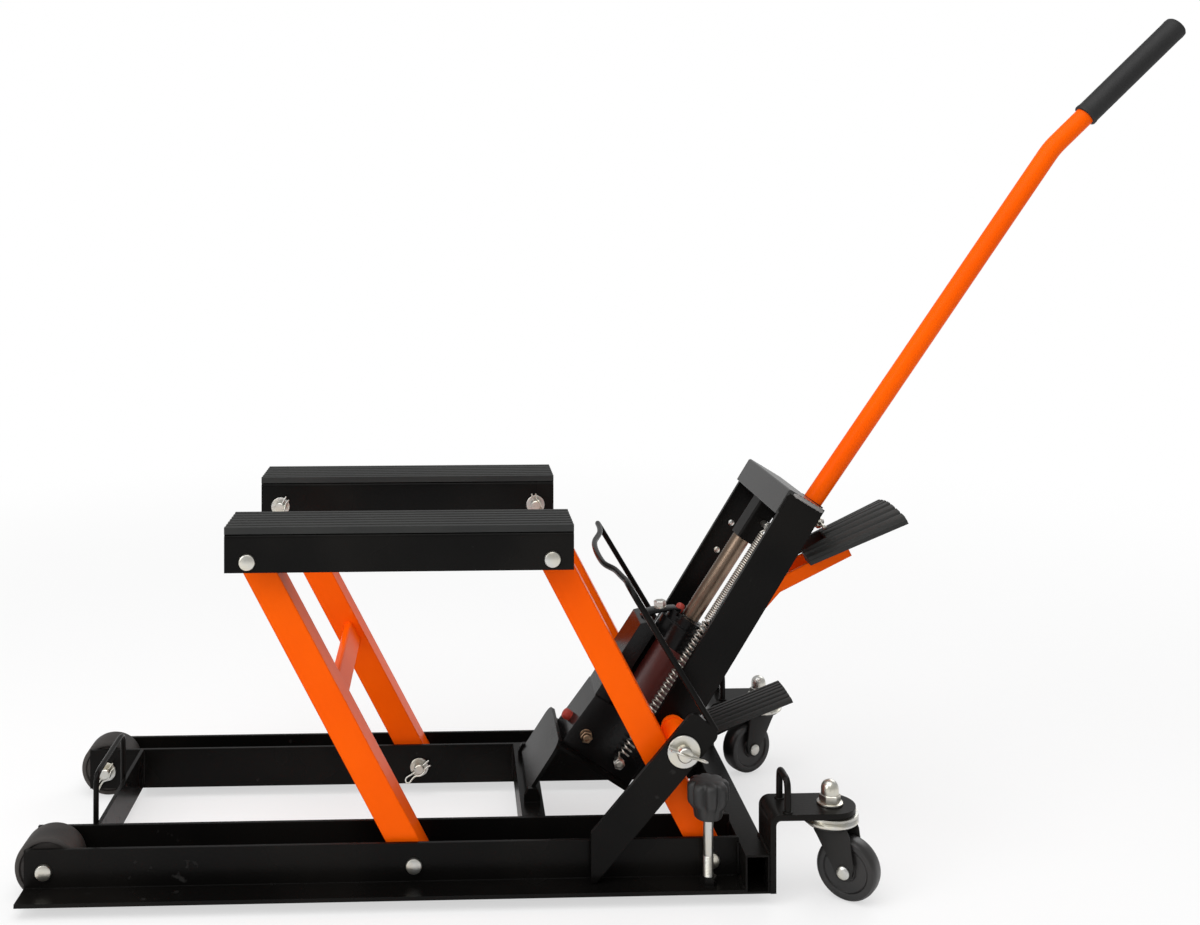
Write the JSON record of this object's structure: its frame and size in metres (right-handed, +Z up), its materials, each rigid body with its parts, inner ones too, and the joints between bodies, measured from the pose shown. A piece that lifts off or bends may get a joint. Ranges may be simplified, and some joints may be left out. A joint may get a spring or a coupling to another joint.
{
  "type": "motorcycle lift",
  "caption": "Hydraulic motorcycle scissor lift with ribbed saddles on parallel arms, foot pedals, safety prop, casters and a detachable steering handle.",
  "frame": {"origin": "on the floor under the middle of the overall length, between the two rails", "axes": "+X towards the handle and casters, +Y to the far side, +Z up"},
  "size_m": [1.2988, 0.3882, 0.9291],
  "materials": {
    "orange_paint": "satin powder coat",
    "black_paint": "satin powder coat",
    "jack_paint": "gloss paint",
    "zinc": "zinc plated",
    "fork_zinc": "zinc plated",
    "spring_steel": "bright drawn wire",
    "polished_rod": "polished",
    "fitting_metal": "dull",
    "rubber": "moulded, ribbed",
    "black_plastic": "moulded",
    "wheel_plastic": "moulded"
  },
  "bodies": {
    "base": {"rail_outer_near": "black_paint", "rail_outer_far": "black_paint", "rail_inner_near": "black_paint", "rail_inner_far": "black_paint", "rear_cross_tube": "black_paint", "mid_cross_tube": "black_paint", "front_cross_member": "black_paint", "front_loop": "black_paint", "caster_bracket_near": "black_paint", "caster_bracket_far": "black_paint", "tie_ring_near": "black_paint", "tie_ring_far": "black_paint", "rail_pins_near": "zinc", "rail_pins_far": "zinc"},
    "rear_arms": {"rear_arm_near": "orange_paint", "rear_arm_far": "orange_paint", "tower_pin_near": "zinc", "tower_pin_far": "zinc"},
    "front_arms": {"front_arm_near": "orange_paint", "front_arm_far": "orange_paint", "arm_cross_bar": "orange_paint"},
    "saddle_near": {"saddle_near": "black_paint", "saddle_pad_near": "rubber", "saddle_pins_near": "zinc"},
    "saddle_far": {"saddle_far": "black_paint", "saddle_pad_far": "rubber", "saddle_pins_far": "zinc"},
    "tower": {"tower_plate_near": "black_paint", "tower_plate_far": "black_paint", "tower_cap": "black_paint", "handle_socket": "black_paint"},
    "handle": {"handle_tube": "orange_paint", "handle_grip": "rubber"},
    "wing_bolt": {"wing_bolt": "zinc"},
    "jack": {"jack_cradle": "black_paint", "jack_base": "jack_paint", "jack_barrel": "jack_paint", "jack_fittings": "fitting_metal", "spring_bolt_lower": "zinc", "return_spring_near": "spring_steel", "return_spring_far": "spring_steel"},
    "ram": {"ram_rod": "polished_rod", "ram_head": "black_paint", "spring_bolt_upper": "zinc"},
    "pump_pedal": {"pump_lever": "orange_paint", "pump_pedal": "rubber"},
    "release_pedal": {"release_lever": "black_paint", "release_pedal": "rubber"},
    "prop": {"prop_bar_near": "black_paint", "prop_bar_far": "black_paint", "prop_bail": "black_paint"},
    "level_screw_near": {"level_screw_near": "black_plastic"},
    "level_screw_far": {"level_screw_far": "black_plastic"},
    "roller_near": {"front_roller_near": "black_plastic"},
    "roller_far": {"front_roller_far": "black_plastic"},
    "caster_near": {"caster_fork_near": "fork_zinc"},
    "caster_far": {"caster_fork_far": "fork_zinc"},
    "wheel_near": {"caster_wheel_near": "wheel_plastic"},
    "wheel_far": {"caster_wheel_far": "wheel_plastic"}
  },
  "joints": [
    {"name": "lift", "type": "hinge", "parent": "base", "child": "rear_arms", "pos_m": [0.06612, 0, 0.032], "axis": [0, -1, 0], "range_deg": [0, 52]},
    {"name": "front_arm_pivot", "type": "hinge", "parent": "base", "child": "front_arms", "pos_m": [-0.24188, 0, 0.032], "axis": [0, -1, 0], "range_deg": [0, 52]},
    {"name": "saddle_pivot_near", "type": "hinge", "parent": "rear_arms", "child": "saddle_near", "pos_m": [-0.10088, -0.1345, 0.35], "axis": [0, -1, 0], "range_deg": [-52, 0]},
    {"name": "saddle_pivot_far", "type": "hinge", "parent": "rear_arms", "child": "saddle_far", "pos_m": [-0.10088, 0.1345, 0.35], "axis": [0, -1, 0], "range_deg": [-52, 0]},
    {"name": "tower_pivot", "type": "hinge", "parent": "rear_arms", "child": "tower", "pos_m": [0.03412, 0, 0.1505], "axis": [0, -1, 0], "range_deg": [-52, 0]},
    {"name": "jack_pivot", "type": "hinge", "parent": "base", "child": "jack", "pos_m": [-0.11488, 0, 0.064], "axis": [0, -1, 0], "range_deg": [0, 5.25]},
    {"name": "ram_slide", "type": "slide", "parent": "jack", "child": "ram", "axis": [-0.5446, 0, -0.8387], "range_m": [0, 0.1085], "deforming": ["return_spring_near", "return_spring_far"]},
    {"name": "prop_pivot", "type": "hinge", "parent": "rear_arms", "child": "prop", "pos_m": [0.03412, 0, 0.1505], "axis": [0, -1, 0], "range_deg": [-86.5, 0]},
    {"name": "pump_pivot", "type": "hinge", "parent": "jack", "child": "pump_pedal", "pos_m": [0.11612, 0, 0.222], "axis": [0, 1, 0], "range_deg": [0, 22], "stiffness_Nm_per_rad": 12, "springref_deg": -8.59},
    {"name": "release_pivot", "type": "hinge", "parent": "jack", "child": "release_pedal", "pos_m": [0.02212, 0, 0.082], "axis": [0, 1, 0], "range_deg": [0, 12], "stiffness_Nm_per_rad": 10, "springref_deg": -8.59},
    {"name": "handle_pull", "type": "slide", "parent": "tower", "child": "handle", "axis": [0.5678, 0, 0.8231], "range_m": [0, 0.045]},
    {"name": "wing_bolt_turn", "type": "hinge", "parent": "tower", "child": "wing_bolt", "pos_m": [0.20326, 0, 0.35771], "axis": [0.8231, 0, -0.5678], "range_deg": [0, 360]},
    {"name": "level_screw_slide_near", "type": "slide", "parent": "base", "child": "level_screw_near", "axis": [0, 0, 1], "range_m": [-0.0105, 0]},
    {"name": "roller_spin_near", "type": "hinge", "parent": "base", "child": "roller_near", "pos_m": [-0.61688, -0.126, 0.0325], "axis": [0, 1, 0], "continuous": true},
    {"name": "caster_swivel_near", "type": "hinge", "parent": "base", "child": "caster_near", "pos_m": [0.18712, -0.16, 0.08], "axis": [0, 0, 1], "continuous": true},
    {"name": "wheel_spin_near", "type": "hinge", "parent": "caster_near", "child": "wheel_near", "pos_m": [0.20312, -0.17201, 0.03175], "axis": [0.6004, 0.7997, 0], "continuous": true},
    {"name": "level_screw_slide_far", "type": "slide", "parent": "base", "child": "level_screw_far", "axis": [0, 0, 1], "range_m": [-0.0105, 0]},
    {"name": "roller_spin_far", "type": "hinge", "parent": "base", "child": "roller_far", "pos_m": [-0.61688, 0.126, 0.0325], "axis": [0, 1, 0], "continuous": true},
    {"name": "caster_swivel_far", "type": "hinge", "parent": "base", "child": "caster_far", "pos_m": [0.18712, 0.16, 0.08], "axis": [0, 0, 1], "continuous": true},
    {"name": "wheel_spin_far", "type": "hinge", "parent": "caster_far", "child": "wheel_far", "pos_m": [0.16943, 0.15067, 0.03175], "axis": [0.4664, -0.8846, 0], "continuous": true}
  ],
  "couplings": [
    {"joint": "front_arm_pivot", "follows": "lift", "ratio": 1},
    {"joint": "saddle_pivot_near", "follows": "lift", "ratio": -1},
    {"joint": "saddle_pivot_far", "follows": "lift", "ratio": -1},
    {"joint": "tower_pivot", "follows": "lift", "ratio": -1},
    {"joint": "jack_pivot", "follows": "lift", "ratio": 0.1},
    {"joint": "ram_slide", "follows": "lift", "m_per_rad": 0.119},
    {"joint": "prop_pivot", "follows": "lift", "ratio": -1.66}
  ]
}
